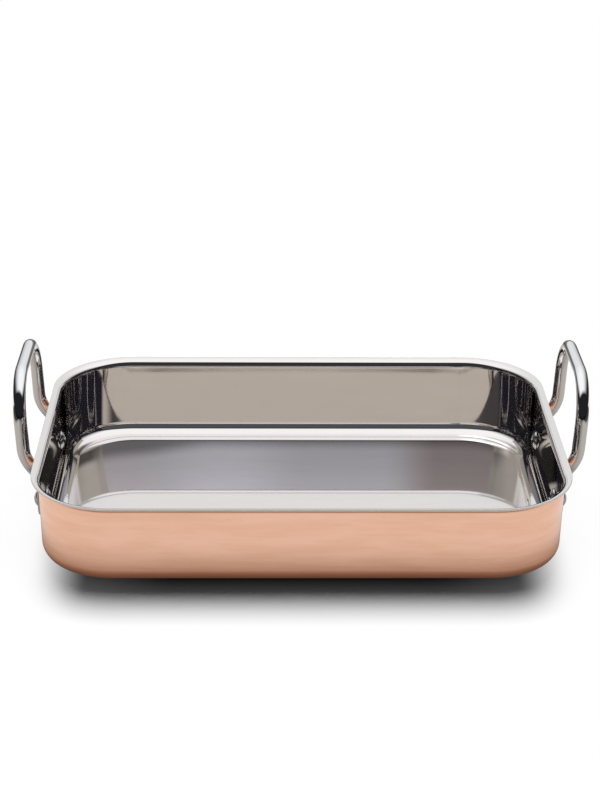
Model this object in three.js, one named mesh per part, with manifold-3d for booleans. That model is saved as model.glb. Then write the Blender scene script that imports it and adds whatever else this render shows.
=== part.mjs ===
// A roasting pan: a deep tray of three-layer clad sheet, copper outside and steel inside, with a flared lip,
// and two upright loop handles of steel rod, each riveted to an end wall through its two flattened feet.
// Millimetres, +Z up, length along X. The origin is the middle of the base's underside.
import * as THREE from 'three';
import { mergeVertices } from 'three/addons/utils/BufferGeometryUtils.js';
import loadManifold from 'manifold-3d';

// Tray, over its outside
const RIM_LENGTH = 356;
const RIM_WIDTH = 248.5;
const RIM_CORNER = 55;
const TRAY_HEIGHT = 59;
const END_DRAFT_DEGREES = 1;
const SIDE_DRAFT_DEGREES = 5.3;
const LIP_RADIUS = 5;
const LIP_SWEEP_DEGREES = 85;
const BASE_RADIUS = 11;

// Clad sheet, from the outside in
const COPPER_THICKNESS = 0.4;
const CORE_THICKNESS = 0.6;
const LINING_THICKNESS = 0.4;
const BOND_GAP = 0.05;

// Handles
const ROD_DIAMETER = 8.7;
const ARM_SPACING = 92;
const ARM_LEAN_DEGREES = 2.4;
const ARM_BEND_RISE = 5.4;
const LIP_TO_ARM = 3.3;
const UPPER_BEND_RADIUS = 20;
const LOWER_BEND_RADIUS = 10;
const LOOP_RISE = 50.6;
const LOOP_BEND_RADIUS = 24.5;
const FOOT_WIDTH = 16;
const FOOT_THICKNESS = 4;
const FOOT_BELOW_RIVET = 12;

// Rivets
const SHANK_DIAMETER = 6;
const INNER_HEAD_DIAMETER = 14;
const INNER_HEAD_HEIGHT = 3;
const OUTER_HEAD_DIAMETER = 11;
const OUTER_HEAD_HEIGHT = 2.5;
const SEAT_GAP = 0.3;

// Facets
const CORNER_STEPS = 8;
const LIP_STEPS = 6;
const BASE_STEPS = 5;
const ROD_SIDES = 12;
const BEND_STEPS = 5;
const TIP_STEPS = 4;
const DOME_STEPS = 4;
const RIVET_SIDES = 16;

const wasm = await loadManifold();
wasm.setup();

const endDraft = THREE.MathUtils.degToRad(END_DRAFT_DEGREES);
const sideDraft = THREE.MathUtils.degToRad(SIDE_DRAFT_DEGREES);
const lipSweep = THREE.MathUtils.degToRad(LIP_SWEEP_DEGREES);
const armLean = THREE.MathUtils.degToRad(ARM_LEAN_DEGREES);

// The sheet's section, as (distance out from the rim's outline, height), on the copper side
const sheet = COPPER_THICKNESS + CORE_THICKNESS + LINING_THICKNESS + 2 * BOND_GAP;
const lipCentre = new THREE.Vector2(
  LIP_RADIUS * Math.cos(lipSweep),
  TRAY_HEIGHT - (LIP_RADIUS + sheet) * Math.sin(lipSweep),
);

// The straight of the wall at a draft: the ways out of it and up it, its top and its length
function wallAt(draft) {
  const out = new THREE.Vector2(Math.cos(draft), -Math.sin(draft));
  const up = new THREE.Vector2(Math.sin(draft), Math.cos(draft));
  const top = lipCentre.clone().addScaledVector(out, -LIP_RADIUS);
  const length = (top.y + BASE_RADIUS * Math.sin(draft) - BASE_RADIUS) / Math.cos(draft);
  return { out, up, top, length };
}
const { out: wallOut, up: wallUp, top: wallTop, length: wallLength } = wallAt(endDraft);

// The rod's path up an arm: along the wall, out under the lip, back upright, then up to the loop
const rodRadius = ROD_DIAMETER / 2;
const footOffset = SEAT_GAP + FOOT_THICKNESS / 2;
const armStart = new THREE.Vector2(LIP_TO_ARM + rodRadius, TRAY_HEIGHT + ARM_BEND_RISE).sub(wallTop);
const armTurn = armLean - endDraft;
const armReach = armStart.dot(wallOut) - footOffset;
const swingRadii = LOWER_BEND_RADIUS + UPPER_BEND_RADIUS;
const swing = Math.acos(
  (LOWER_BEND_RADIUS + UPPER_BEND_RADIUS * Math.cos(armTurn) - armReach) / swingRadii,
);
const leaveRise = armStart.dot(wallUp) - swingRadii * Math.sin(swing) + UPPER_BEND_RADIUS * Math.sin(armTurn);

// The rivet sits midway between the base's curve and the place where the foot leaves the wall
const rivetRise = (leaveRise - wallLength) / 2;

// Joins closed rings of points in turn into one closed body, with a flat fan over each end. From the ring
// numbered turnBack on, the facets are split the other way, so that a section that doubles back on itself
// has both its faces split alike.
function loft(rings, turnBack = rings.length) {
  const sides = rings[0].length;
  const points = rings.flat();
  const faces = [];
  for (let ring = 0; ring + 1 < rings.length; ring++) {
    for (let side = 0; side < sides; side++) {
      const here = ring * sides + side;
      const next = ring * sides + (side + 1) % sides;
      if (ring < turnBack) {
        faces.push(here, next, next + sides, here, next + sides, here + sides);
      } else {
        faces.push(here, next, here + sides, next, next + sides, here + sides);
      }
    }
  }
  const last = (rings.length - 1) * sides;
  const startCentre = points.push(middle(rings[0])) - 1;
  const endCentre = points.push(middle(rings[rings.length - 1])) - 1;
  for (let side = 0; side < sides; side++) {
    const next = (side + 1) % sides;
    faces.push(startCentre, next, side, endCentre, last + side, last + next);
  }
  return new THREE.BufferGeometry().setFromPoints(points).setIndex(faces);
}

function middle(ring) {
  const sum = new THREE.Vector3();
  ring.forEach((point) => sum.add(point));
  return sum.divideScalar(ring.length);
}

function toSolid(geometry) {
  const bare = geometry.clone();
  bare.deleteAttribute('normal');
  bare.deleteAttribute('uv');
  const merged = mergeVertices(bare);
  const mesh = new wasm.Mesh({
    numProp: 3,
    vertProperties: new Float32Array(merged.attributes.position.array),
    triVerts: new Uint32Array(merged.index.array),
  });
  return new wasm.Manifold(mesh);
}

function toGeometry(solid) {
  const mesh = solid.getMesh();
  const geometry = new THREE.BufferGeometry();
  geometry.setAttribute('position', new THREE.BufferAttribute(mesh.vertProperties, 3));
  geometry.setIndex(new THREE.BufferAttribute(mesh.triVerts, 1));
  return geometry;
}

// A rivet's seat on the +X end wall: X along the rivet, out of the wall, with its zero on the copper.
function rivetSeat(across) {
  const rise = wallTop.clone().addScaledVector(wallUp, rivetRise);
  const turn = new THREE.Matrix4().makeRotationY(endDraft);
  return turn.setPosition(RIM_LENGTH / 2 + rise.x, across, rise.y);
}

const rivetPlaces = [-ARM_SPACING / 2, ARM_SPACING / 2];
const outerHeadSeat = footOffset + FOOT_THICKNESS / 2 + SEAT_GAP;
const innerHeadSeat = -sheet - SEAT_GAP;

// The drill that makes the rivet holes through a wall and a foot
function drill(across) {
  const radius = SHANK_DIAMETER / 2 + SEAT_GAP;
  const length = 2 * (outerHeadSeat - innerHeadSeat);
  const bit = new THREE.CylinderGeometry(radius, radius, length, RIVET_SIDES);
  bit.rotateZ(-Math.PI / 2);
  bit.applyMatrix4(rivetSeat(across));
  return bit;
}

// One side of a layer of the sheet, at a depth from the copper's face, from the base up to the lip's edge.
function sheetSide(depth, draft) {
  const { out, up, top, length } = wallAt(draft);
  const baseCentre = top.clone().addScaledVector(up, -length).addScaledVector(out, -BASE_RADIUS);
  const line = [];
  for (let step = 0; step <= BASE_STEPS; step++) {
    const angle = (Math.PI / 2 - draft) * step / BASE_STEPS;
    const arm = new THREE.Vector2(Math.sin(angle), -Math.cos(angle));
    line.push(arm.multiplyScalar(BASE_RADIUS - depth).add(baseCentre));
  }
  for (let step = 0; step <= LIP_STEPS; step++) {
    const angle = draft + (lipSweep - draft) * step / LIP_STEPS;
    const arm = new THREE.Vector2(-Math.cos(angle), Math.sin(angle));
    line.push(arm.multiplyScalar(LIP_RADIUS + depth).add(lipCentre));
  }
  return line;
}

// How far the wall leans out where it faces this way in plan: least at the ends, most along the sides.
function draftFacing(angle) {
  return THREE.MathUtils.lerp(endDraft, sideDraft, Math.sin(angle) ** 2);
}

// One layer of the clad sheet, drilled for the rivets at both ends.
function sheetLayer(depth, thickness) {
  const columns = [];
  for (let corner = 0; corner < 4; corner++) {
    const signX = corner === 0 || corner === 3 ? 1 : -1;
    const signY = corner < 2 ? 1 : -1;
    const centreX = signX * (RIM_LENGTH / 2 - RIM_CORNER);
    const centreY = signY * (RIM_WIDTH / 2 - RIM_CORNER);
    for (let step = 0; step <= CORNER_STEPS; step++) {
      const angle = (corner + step / CORNER_STEPS) * Math.PI / 2;
      const draft = draftFacing(angle);
      const section = [...sheetSide(depth, draft), ...sheetSide(depth + thickness, draft).reverse()];
      columns.push(section.map(({ x: out, y: height }) => new THREE.Vector3(
        centreX + (RIM_CORNER + out) * Math.cos(angle),
        centreY + (RIM_CORNER + out) * Math.sin(angle),
        height,
      )));
    }
  }
  const rings = columns[0].map((_, level) => columns.map((column) => column[level]));
  let layer = toSolid(loft(rings, rings.length / 2));
  for (const end of [0, Math.PI]) {
    for (const across of rivetPlaces) {
      layer = layer.subtract(toSolid(drill(across).rotateZ(end)));
    }
  }
  return toGeometry(layer);
}

// The rod's section: a flat oval with full-round edges, or a circle where both half sizes are equal.
function rodRing({ place, out, side, halfThick, halfWide }) {
  const edge = Math.min(halfThick, halfWide);
  const facing = edge / Math.cos(Math.PI / ROD_SIDES);
  const ring = [];
  for (let step = 0; step < ROD_SIDES; step++) {
    const angle = (step + 0.5) * 2 * Math.PI / ROD_SIDES;
    const thick = (halfThick - edge) * Math.sign(Math.cos(angle)) + facing * Math.cos(angle);
    const wide = (halfWide - edge) * Math.sign(Math.sin(angle)) + facing * Math.sin(angle);
    ring.push(place.clone().addScaledVector(out, thick).addScaledVector(side, wide));
  }
  return ring;
}

// The rod's stations up the front arm and over to the middle of the loop, on the +X end.
function handleHalf() {
  const stations = [];
  const across = -ARM_SPACING / 2;
  const tipRise = rivetRise - FOOT_BELOW_RIVET;
  const neckRise = rivetRise + OUTER_HEAD_DIAMETER / 2 + SEAT_GAP;
  const start = wallTop.clone().addScaledVector(wallOut, footOffset);

  function armStation(point, heading, halfThick, halfWide) {
    stations.push({
      place: new THREE.Vector3(RIM_LENGTH / 2 + point.x, across, point.y),
      out: new THREE.Vector3(Math.cos(heading), 0, -Math.sin(heading)),
      side: new THREE.Vector3(0, 1, 0),
      halfThick,
      halfWide,
    });
  }

  const tipRadius = FOOT_WIDTH / 2;
  for (let step = 1; step <= TIP_STEPS; step++) {
    const angle = Math.PI / 2 * step / TIP_STEPS;
    const rise = tipRise + tipRadius * (1 - Math.cos(angle));
    const point = start.clone().addScaledVector(wallUp, rise);
    armStation(point, endDraft, FOOT_THICKNESS / 2, tipRadius * Math.sin(angle));
  }

  // The neck narrows from the rivet's head on, and thickens only where it has left the wall
  const neckLength = leaveRise - neckRise + LOWER_BEND_RADIUS * swing;
  function halfWideAt(travel) {
    return THREE.MathUtils.lerp(FOOT_WIDTH / 2, rodRadius, THREE.MathUtils.smoothstep(travel, 0, neckLength));
  }
  armStation(start.clone().addScaledVector(wallUp, neckRise), endDraft, FOOT_THICKNESS / 2, FOOT_WIDTH / 2);
  const leave = start.clone().addScaledVector(wallUp, leaveRise);
  for (let step = 0; step <= BEND_STEPS; step++) {
    const share = step / BEND_STEPS;
    const turn = swing * share;
    const point = leave.clone()
      .addScaledVector(wallOut, LOWER_BEND_RADIUS * (1 - Math.cos(turn)))
      .addScaledVector(wallUp, LOWER_BEND_RADIUS * Math.sin(turn));
    const halfThick = THREE.MathUtils.lerp(FOOT_THICKNESS / 2, rodRadius, share * share);
    armStation(point, endDraft + turn, halfThick, halfWideAt(leaveRise - neckRise + LOWER_BEND_RADIUS * turn));
  }
  const armEnd = armStart.clone().add(wallTop);
  const bendCentre = armEnd.clone().addScaledVector(outOf(armLean), -UPPER_BEND_RADIUS);
  for (let step = 1; step <= BEND_STEPS; step++) {
    const heading = THREE.MathUtils.lerp(endDraft + swing, armLean, step / BEND_STEPS);
    const point = bendCentre.clone().addScaledVector(outOf(heading), UPPER_BEND_RADIUS);
    armStation(point, heading, rodRadius, rodRadius);
  }

  // The loop lies in the plane of its two arms
  const armTop = new THREE.Vector3(RIM_LENGTH / 2 + armEnd.x, across, armEnd.y);
  const up = new THREE.Vector3(Math.sin(armLean), 0, Math.cos(armLean));
  const out = new THREE.Vector3(Math.cos(armLean), 0, -Math.sin(armLean));
  const along = new THREE.Vector3(0, 1, 0);
  const armLength = (LOOP_RISE - ARM_BEND_RISE) / Math.cos(armLean) - LOOP_BEND_RADIUS;
  const loopCentre = armTop.clone().addScaledVector(up, armLength).addScaledVector(along, LOOP_BEND_RADIUS);
  for (let step = 0; step <= BEND_STEPS; step++) {
    const turn = Math.PI / 2 * step / BEND_STEPS;
    const place = loopCentre.clone()
      .addScaledVector(along, -LOOP_BEND_RADIUS * Math.cos(turn))
      .addScaledVector(up, LOOP_BEND_RADIUS * Math.sin(turn));
    const side = along.clone().multiplyScalar(Math.cos(turn)).addScaledVector(up, -Math.sin(turn));
    stations.push({ place, out, side, halfThick: rodRadius, halfWide: rodRadius });
  }
  return stations;
}

// The direction square to a heading, out from the pan, in the plane of an arm.
function outOf(heading) {
  return new THREE.Vector2(Math.cos(heading), -Math.sin(heading));
}

// One handle on the +X end: both arms and the loop in one length of rod, drilled at both feet.
function handle() {
  const front = handleHalf();
  const across = new THREE.Vector3(1, -1, 1);
  const rear = front.map((station) => ({
    ...station,
    place: station.place.clone().multiply(across),
    side: station.side.clone().multiply(across),
  }));
  let rod = toSolid(loft([...front, ...rear.reverse()].map(rodRing)));
  for (const place of rivetPlaces) {
    rod = rod.subtract(toSolid(drill(place)));
  }
  return toGeometry(rod);
}

// Half the outline of a low dome, from its edge to its crown.
function domeEdge(radius, height) {
  const curve = (radius * radius + height * height) / (2 * height);
  const spread = Math.asin(radius / curve);
  const edge = [];
  for (let step = 0; step < DOME_STEPS; step++) {
    const angle = spread * (1 - step / DOME_STEPS);
    edge.push(new THREE.Vector2(curve * Math.sin(angle), curve * Math.cos(angle) - curve + height));
  }
  edge.push(new THREE.Vector2(0, height));
  return edge;
}

// A solid rivet along X: a wide domed head inside the pan, a shank, and a smaller head on the foot.
function rivet() {
  const shank = SHANK_DIAMETER / 2;
  const inner = domeEdge(INNER_HEAD_DIAMETER / 2, INNER_HEAD_HEIGHT).reverse();
  const outer = domeEdge(OUTER_HEAD_DIAMETER / 2, OUTER_HEAD_HEIGHT);
  const outline = [
    ...inner.map((point) => new THREE.Vector2(point.x, innerHeadSeat - point.y)),
    new THREE.Vector2(shank, innerHeadSeat),
    new THREE.Vector2(shank, outerHeadSeat),
    ...outer.map((point) => new THREE.Vector2(point.x, outerHeadSeat + point.y)),
  ];
  return new THREE.LatheGeometry(outline, RIVET_SIDES).rotateZ(-Math.PI / 2);
}

const copper = () => new THREE.MeshStandardMaterial({ color: 0xd9a98c, roughness: 0.32, metalness: 1 });
const aluminium = () => new THREE.MeshStandardMaterial({ color: 0xc9cacc, roughness: 0.5, metalness: 1 });
const brushedSteel = () => new THREE.MeshStandardMaterial({ color: 0xb9b7b8, roughness: 0.28, metalness: 1 });
const polishedSteel = () => new THREE.MeshStandardMaterial({ color: 0xdcdcde, roughness: 0.08, metalness: 1 });

function named(name, geometry, material) {
  const mesh = new THREE.Mesh(geometry, material);
  mesh.name = name;
  return mesh;
}

const pan = new THREE.Group();
const coreDepth = COPPER_THICKNESS + BOND_GAP;
const liningDepth = coreDepth + CORE_THICKNESS + BOND_GAP;
pan.add(named('copper_skin', sheetLayer(0, COPPER_THICKNESS), copper()));
pan.add(named('aluminium_core', sheetLayer(coreDepth, CORE_THICKNESS), aluminium()));
pan.add(named('steel_lining', sheetLayer(liningDepth, LINING_THICKNESS), brushedSteel()));

// The left end is the right end turned half round, so its front rivet is the right end's rear one
const ends = [
  { name: 'right', turn: 0, rivets: ['front', 'rear'] },
  { name: 'left', turn: Math.PI, rivets: ['rear', 'front'] },
];
for (const end of ends) {
  const group = new THREE.Group();
  group.rotation.z = end.turn;
  group.add(named(`${end.name}_handle`, handle(), polishedSteel()));
  end.rivets.forEach((place, index) => {
    const seat = new THREE.Group();
    seat.applyMatrix4(rivetSeat(rivetPlaces[index]));
    seat.add(named(`${end.name}_${place}_rivet`, rivet(), polishedSteel()));
    group.add(seat);
  });
  pan.add(group);
}

export default pan;
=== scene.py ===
"""A copper roasting pan with a steel lining and two riveted loop handles, dressed on its CAD frame."""
import math
import bpy
from mathutils import Matrix, Vector


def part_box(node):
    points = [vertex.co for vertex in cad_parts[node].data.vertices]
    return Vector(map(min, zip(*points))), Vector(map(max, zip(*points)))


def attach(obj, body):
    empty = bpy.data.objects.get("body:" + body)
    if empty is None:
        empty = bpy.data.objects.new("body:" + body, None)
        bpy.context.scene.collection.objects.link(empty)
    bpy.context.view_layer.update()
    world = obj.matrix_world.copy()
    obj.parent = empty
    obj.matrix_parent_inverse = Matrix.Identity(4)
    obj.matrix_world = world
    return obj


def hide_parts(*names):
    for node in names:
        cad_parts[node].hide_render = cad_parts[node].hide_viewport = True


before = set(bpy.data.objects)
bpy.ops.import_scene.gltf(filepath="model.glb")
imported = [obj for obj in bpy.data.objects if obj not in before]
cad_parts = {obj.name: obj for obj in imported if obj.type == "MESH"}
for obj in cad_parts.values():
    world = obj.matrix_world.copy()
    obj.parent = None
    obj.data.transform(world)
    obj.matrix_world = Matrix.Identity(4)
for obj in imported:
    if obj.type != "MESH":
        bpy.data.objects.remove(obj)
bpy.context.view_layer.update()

# Copper skin
# The outer layer of the pan's clad sheet: copper, pressed with the rest into a deep tray with a flared lip,
# then brushed along the walls and along the base.
RIM_LOW, RIM_HIGH = (Vector(corner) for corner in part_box("copper_skin"))
RIM_LENGTH = RIM_HIGH.x - RIM_LOW.x
RIM_WIDTH = RIM_HIGH.y - RIM_LOW.y
TRAY_HEIGHT = max(corner[2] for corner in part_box("steel_lining"))
RIM_CORNER = 0.055
END_DRAFT = math.radians(1)
SIDE_DRAFT = math.radians(5.3)
LIP_RADIUS = 0.005
LIP_SWEEP = math.radians(85)
BASE_RADIUS = 0.011
SHEET_THICKNESS = 0.0015
COPPER_THICKNESS = 0.0004
EDGE_ROUND = 0.00015
CORNER_STEPS = 28
LIP_STEPS = 24
BASE_STEPS = 20
EDGE_STEPS = 4
FLAT_RINGS = (0.985, 0.93, 0.8, 0.6, 0.35)
SMALL_TURN = 0.001
lip_centre = Vector((
    LIP_RADIUS * math.cos(LIP_SWEEP),
    TRAY_HEIGHT - (LIP_RADIUS + SHEET_THICKNESS) * math.sin(LIP_SWEEP),
))


def wall_draft(angle):
    """How far the wall leans out where it faces this way: least on the end walls, most on the long walls."""
    return END_DRAFT + (SIDE_DRAFT - END_DRAFT) * math.sin(angle) ** 2


def wall_frame(draft):
    """The way out of the wall, the way up it, its top and its length, in (out, height)."""
    out = Vector((math.cos(draft), -math.sin(draft)))
    up = Vector((math.sin(draft), math.cos(draft)))
    top = lip_centre - out * LIP_RADIUS
    length = (top.y + BASE_RADIUS * math.sin(draft) - BASE_RADIUS) / math.cos(draft)
    return out, up, top, length


def sheet_side(depth, facing, edge_round, draft):
    """One face of a layer, from the base to the lip, as (point, normal): the point is (out, height)."""
    out, up, top, length = wall_frame(draft)
    base_centre = top - up * length - out * BASE_RADIUS
    line = []
    for step in range(BASE_STEPS + 1):
        angle = (math.pi / 2 - draft) * step / BASE_STEPS
        away = Vector((math.sin(angle), -math.cos(angle)))
        line.append((base_centre + away * (BASE_RADIUS - depth), away * facing))
    sweep_end = LIP_SWEEP - edge_round / (LIP_RADIUS + depth)
    for step in range(LIP_STEPS + 1):
        angle = draft + (sweep_end - draft) * step / LIP_STEPS
        away = Vector((math.cos(angle), -math.sin(angle)))
        line.append((lip_centre - away * (LIP_RADIUS + depth), away * facing))
    if edge_round:
        along = Vector((math.sin(sweep_end), math.cos(sweep_end)))
        normal = line[-1][1]
        centre = line[-1][0] - normal * edge_round
        for step in range(1, EDGE_STEPS + 1):
            turn = math.pi / 2 * step / EDGE_STEPS
            away = normal * math.cos(turn) + along * math.sin(turn)
            line.append((centre + away * edge_round, away))
    return line


def layer_outline(depth, thickness, outer_round, inner_round, draft):
    """A layer's whole outline where the wall has this draft: up its outer face and down its inner face."""
    return (sheet_side(depth, 1, outer_round, draft)
            + sheet_side(depth + thickness, -1, inner_round, draft)[::-1])


def rim_places():
    """The rim's outline as (corner centre, angle of the way out, distance along the rim)."""
    places = []
    travel = 0
    corner_run = RIM_CORNER * math.pi / 2
    side_runs = (RIM_LENGTH - 2 * RIM_CORNER, RIM_WIDTH - 2 * RIM_CORNER)
    for corner, (sign_x, sign_y) in enumerate(((1, 1), (-1, 1), (-1, -1), (1, -1))):
        centre = Vector((sign_x * (RIM_LENGTH / 2 - RIM_CORNER), sign_y * (RIM_WIDTH / 2 - RIM_CORNER), 0))
        for step in range(CORNER_STEPS + 1):
            share = step / CORNER_STEPS
            places.append((centre, (corner + share) * math.pi / 2, travel + corner_run * share))
        travel += corner_run + side_runs[corner % 2]
    return places


def tray_layer(name, depth, thickness, outer_round, inner_round):
    """One layer of the sheet as a closed mesh with exact normals and a map that runs along the rim."""
    places = rim_places()
    sides = len(places)
    rim_run = 2 * (RIM_LENGTH + RIM_WIDTH) - (8 - 2 * math.pi) * RIM_CORNER
    columns = []
    for centre, angle, _ in places:
        away = Vector((math.cos(angle), math.sin(angle), 0))
        tangent = Vector((-math.sin(angle), math.cos(angle), 0))
        before, here, after = (
            layer_outline(depth, thickness, outer_round, inner_round, wall_draft(angle + turn))
            for turn in (-SMALL_TURN, 0, SMALL_TURN)
        )
        column = []
        for (early, _), (point, normal), (late, _) in zip(before, here, after):
            lean = normal.dot(late - early) / (2 * SMALL_TURN) / (RIM_CORNER + point.x)
            place = centre + away * (RIM_CORNER + point.x) + Vector((0, 0, point.y))
            facing = away * normal.x + Vector((0, 0, normal.y)) - tangent * lean
            column.append((place, facing.normalized()))
        columns.append(column)
    rings = len(columns[0])
    points = [column[ring][0] for ring in range(rings) for column in columns]
    normals = [column[ring][1] for ring in range(rings) for column in columns]
    travels = [0]
    for ring in range(rings - 1):
        travels.append(travels[-1] + (columns[0][ring + 1][0] - columns[0][ring][0]).length)
    edge = BASE_STEPS + LIP_STEPS + 1 + (EDGE_STEPS if outer_round else 0)
    faces = []
    face_normals = []
    face_map = []
    for ring in range(rings - 1):
        for side in range(sides):
            after = (side + 1) % sides
            corners = (ring * sides + side, ring * sides + after,
                       (ring + 1) * sides + after, (ring + 1) * sides + side)
            faces.append(corners)
            if ring == edge:
                first, second, _, last = (points[corner] for corner in corners)
                face_normals.append([(second - first).cross(last - first).normalized()] * 4)
            else:
                face_normals.append([normals[corner] for corner in corners])
            start = places[side][2]
            end = places[after][2] if after else rim_run
            face_map.append([(start, travels[ring]), (end, travels[ring]),
                             (end, travels[ring + 1]), (start, travels[ring + 1])])
    for ring, up in ((0, -1), (rings - 1, 1)):
        flat_floor(points, faces, face_normals, face_map, ring * sides, sides, up)
    return closed_mesh(name, points, faces, face_normals, face_map)


def flat_floor(points, faces, face_normals, face_map, first, sides, up):
    """Closes a ring with a flat floor of smaller rings about its middle, facing up or down."""
    normal = Vector((0, 0, up))
    height = points[first].z
    rings = [list(range(first, first + sides))]
    outermost = points[first:first + sides]
    for share in FLAT_RINGS:
        rings.append(list(range(len(points), len(points) + sides)))
        points.extend([Vector((point.x * share, point.y * share, height)) for point in outermost])
    middle = len(points)
    points.append(Vector((0, 0, height)))
    for ring, within in zip(rings, rings[1:] + [[middle] * sides]):
        for side in range(sides):
            after = (side + 1) % sides
            corners = [ring[side], ring[after], within[after], within[side]]
            if within[side] == middle:
                corners = corners[:3]
            if up < 0:
                corners.reverse()
            faces.append(corners)
            face_normals.append([normal] * len(corners))
            face_map.append([points[corner].xy for corner in corners])


def closed_mesh(name, points, faces, face_normals, face_map):
    """A mesh object from points and faces, with a normal and a map point for each corner of each face."""
    mesh = bpy.data.meshes.new(name)
    mesh.from_pydata(points, [], faces)
    layer = mesh.uv_layers.new(name="brush")
    flat_map = [place for corners in face_map for place in corners]
    for loop, place in zip(layer.data, flat_map):
        loop.uv = place
    mesh.polygons.foreach_set("use_smooth", [True] * len(mesh.polygons))
    mesh.normals_split_custom_set([normal for corners in face_normals for normal in corners])
    piece = bpy.data.objects.new(name, mesh)
    bpy.context.scene.collection.objects.link(piece)
    return piece


def metal(name, colour, roughness, anisotropic):
    """A bare metal's material, and its shader."""
    material = bpy.data.materials.new(name)
    material.use_nodes = True
    shader = material.node_tree.nodes["Principled BSDF"]
    shader.inputs["Base Color"].default_value = (*colour, 1)
    shader.inputs["Metallic"].default_value = 1
    shader.inputs["Roughness"].default_value = roughness
    shader.inputs["Anisotropic"].default_value = anisotropic
    return material, shader


def node(material, kind, values=None, links=None, **settings):
    """Adds a node with its settings, its inputs' values and the outputs that feed them."""
    made = material.node_tree.nodes.new(kind)
    for key, value in settings.items():
        setattr(made, key, value)
    for key, value in (values or {}).items():
        made.inputs[key].default_value = value
    for key, output in (links or {}).items():
        material.node_tree.links.new(output, made.inputs[key])
    return made


def feed(material, output, socket):
    material.node_tree.links.new(output, socket)


NOISE_ROUGHNESS = 0.6


def brush_lines(material, length, width, detail):
    """Fine lines along the map's first way, of a length and width in metres, from 0 to 1."""
    place = node(material, "ShaderNodeUVMap", uv_map="brush")
    stretch = node(material, "ShaderNodeMapping", {"Scale": (1 / length, 1 / width, 1)},
                   {"Vector": place.outputs["UV"]})
    lines = node(material, "ShaderNodeTexNoise",
                 {"Scale": 1.0, "Detail": detail, "Roughness": NOISE_ROUGHNESS},
                 {"Vector": stretch.outputs["Vector"]})
    return lines.outputs["Fac"]


RAMP_START = 0.3
RAMP_END = 0.7


def ramp(material, source, low, high):
    """A colour or grey that runs from low to high as the source goes over the ramp."""
    made = node(material, "ShaderNodeValToRGB", links={"Fac": source})
    first, last = made.color_ramp.elements
    first.position = RAMP_START
    last.position = RAMP_END
    first.color = (*low, 1) if isinstance(low, tuple) else (low, low, low, 1)
    last.color = (*high, 1) if isinstance(high, tuple) else (high, high, high, 1)
    return made.outputs["Color"]


QUARTER_TURN = 0.25


def grain_along_rim(material, shader):
    """Spreads the gloss across the brush lines, which run along the rim."""
    grain = node(material, "ShaderNodeTangent", direction_type="UV_MAP", uv_map="brush")
    feed(material, grain.outputs["Tangent"], shader.inputs["Tangent"])
    shader.inputs["Anisotropic Rotation"].default_value = QUARTER_TURN


# Brush lines are given by their length, width and detail.
COPPER_PALE = (0.88, 0.54, 0.4)
COPPER_DEEP = (0.83, 0.495, 0.35)
COPPER_ROUGHNESS = 0.24
COPPER_ROUGHNESS_RANGE = (0.19, 0.28)
COPPER_ANISOTROPY = 0.4
COPPER_STREAKS = (0.09, 0.0016, 4.0)
COPPER_CLOUD = (0.045, 0.009, 2.0)
COPPER_SCRATCHES = (0.03, 0.0004, 2.0)
STREAK_SHARE = 0.55
TONE_CONTRAST = 1.5
TONE_SHIFT = -0.66
SCRATCH_STRENGTH = 0.12
SCRATCH_DEPTH = 0.00005
copper, copper_shader = metal("brushed_copper", COPPER_PALE, COPPER_ROUGHNESS, COPPER_ANISOTROPY)
copper_streaks = brush_lines(copper, *COPPER_STREAKS)
copper_cloud = brush_lines(copper, *COPPER_CLOUD)
copper_mix = node(copper, "ShaderNodeMath", {1: STREAK_SHARE}, {0: copper_streaks, 2: copper_cloud},
                  operation="MULTIPLY_ADD")
copper_tone = node(copper, "ShaderNodeMath", {1: TONE_CONTRAST, 2: TONE_SHIFT}, {0: copper_mix.outputs[0]},
                   operation="MULTIPLY_ADD")
copper_colour = ramp(copper, copper_tone.outputs[0], COPPER_DEEP, COPPER_PALE)
feed(copper, copper_colour, copper_shader.inputs["Base Color"])
feed(copper, ramp(copper, copper_streaks, *COPPER_ROUGHNESS_RANGE), copper_shader.inputs["Roughness"])
copper_bump = node(copper, "ShaderNodeBump", {"Strength": SCRATCH_STRENGTH, "Distance": SCRATCH_DEPTH},
                   {"Height": brush_lines(copper, *COPPER_SCRATCHES)})
feed(copper, copper_bump.outputs["Normal"], copper_shader.inputs["Normal"])
grain_along_rim(copper, copper_shader)

copper_skin = tray_layer("pan_copper_skin", 0, COPPER_THICKNESS, EDGE_ROUND, 0)
copper_skin.data.materials.append(copper)
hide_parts("copper_skin")
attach(copper_skin, "root")

# Aluminium core
# The middle layer of the sheet, rolled between the copper and the steel to spread the heat.
# It shows only as a dull line along the lip's edge, where the sheet was trimmed.
BOND_GAP = 0.00005
CORE_THICKNESS = 0.0006
CORE_DEPTH = COPPER_THICKNESS + BOND_GAP
CORE_COLOUR = (0.62, 0.62, 0.63)
CORE_ROUGHNESS = 0.42
CORE_ROUGHNESS_RANGE = (0.34, 0.5)
CORE_ANISOTROPY = 0.2
CORE_GRAIN = (0.004, 0.0006, 3.0)
aluminium, aluminium_shader = metal("trimmed_aluminium", CORE_COLOUR, CORE_ROUGHNESS, CORE_ANISOTROPY)
core_gloss = ramp(aluminium, brush_lines(aluminium, *CORE_GRAIN), *CORE_ROUGHNESS_RANGE)
feed(aluminium, core_gloss, aluminium_shader.inputs["Roughness"])
aluminium_core = tray_layer("pan_aluminium_core", CORE_DEPTH, CORE_THICKNESS, 0, 0)
aluminium_core.data.materials.append(aluminium)
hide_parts("aluminium_core")
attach(aluminium_core, "root")

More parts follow.
